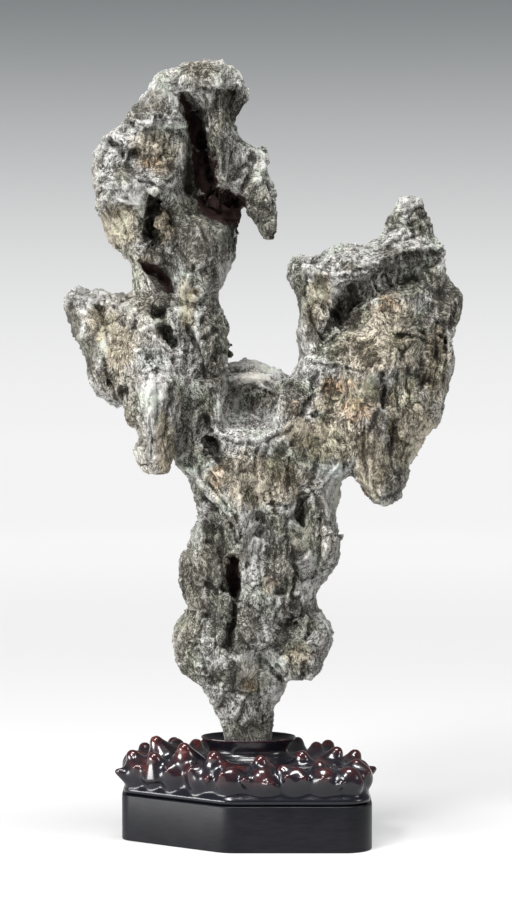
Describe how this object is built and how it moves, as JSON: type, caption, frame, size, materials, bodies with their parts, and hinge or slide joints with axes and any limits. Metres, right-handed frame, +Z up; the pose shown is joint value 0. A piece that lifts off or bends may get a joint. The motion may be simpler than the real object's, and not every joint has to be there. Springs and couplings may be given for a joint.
{
  "type": "scholars rock on a carved stand",
  "caption": "Upright forked ornamental stone with a knobbly head and a broad wing, standing in the collar of a carved, lacquered wooden stand on a plain plinth",
  "frame": {"origin": "middle of the plinth's underside, on the surface that the object stands on", "axes": "+Z up along the stone, +X to the viewer's right, the front faces -Y"},
  "size_m": [0.2557, 0.1051, 0.499],
  "materials": {
    "stone": "weathered, matte",
    "carved_wood": "glossy red-brown lacquer",
    "plinth_wood": "satin blue-black lacquer"
  },
  "bodies": {
    "root": {"stone": "stone", "carved_stand": "carved_wood", "plinth": "plinth_wood"}
  },
  "joints": []
}
